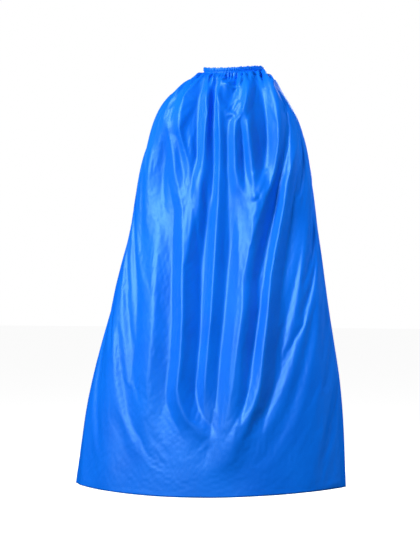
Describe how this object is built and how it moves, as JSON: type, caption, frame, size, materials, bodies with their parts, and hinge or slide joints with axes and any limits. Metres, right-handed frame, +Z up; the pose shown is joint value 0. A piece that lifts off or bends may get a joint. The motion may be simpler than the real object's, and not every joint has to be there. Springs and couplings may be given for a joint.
{
  "type": "costume cape",
  "caption": "Full-length satin costume cape, gathered into a folded neck casing, flaring to a wide hem and closed at the throat by a hook-and-loop tab and strap.",
  "frame": {"origin": "middle of the neckline, at the height of the nape", "axes": "+Z up, -Y the way the wearer faces, +X the wearer's left"},
  "size_m": [0.9324, 0.5166, 1.3776],
  "materials": {
    "satin": "glossy satin weave",
    "tape": "plain woven tape",
    "hook_loop": "hook and loop pile",
    "thread": "spun thread",
    "label": "woven ribbon"
  },
  "bodies": {
    "neck": {"yoke_panel": "satin", "left_yoke_edge_hem": "satin", "right_yoke_edge_hem": "satin", "neck_casing": "satin", "neck_tape": "tape", "casing_stitching": "thread", "under_tab": "satin", "hook_patch": "hook_loop", "hook_patch_right_stitching": "thread", "hook_patch_left_stitching": "thread"},
    "drape": {"drape_panel": "satin", "bottom_hem": "satin", "bottom_hem_stitching": "thread", "left_edge_hem": "satin", "left_edge_stitching": "thread", "right_edge_hem": "satin", "right_edge_stitching": "thread"},
    "closure_strap": {"over_strap": "satin", "loop_patch": "hook_loop", "loop_patch_right_stitching": "thread", "loop_patch_left_stitching": "thread"},
    "label": {"care_label": "label", "care_label_stitching": "thread"}
  },
  "joints": [
    {"name": "drape_swing", "type": "hinge", "parent": "neck", "child": "drape", "pos_m": [0, 0.1371, -0.0684], "axis": [1, 0, 0], "range_deg": [0, 50]},
    {"name": "closure_peel", "type": "hinge", "parent": "neck", "child": "closure_strap", "pos_m": [-0.019, -0.0843, -0.0368], "axis": [0, 0, -1], "range_deg": [0, 120]},
    {"name": "label_flip", "type": "hinge", "parent": "neck", "child": "label", "pos_m": [0, 0.0809, 0.0058], "axis": [-1, 0, 0], "range_deg": [0, 100]}
  ]
}
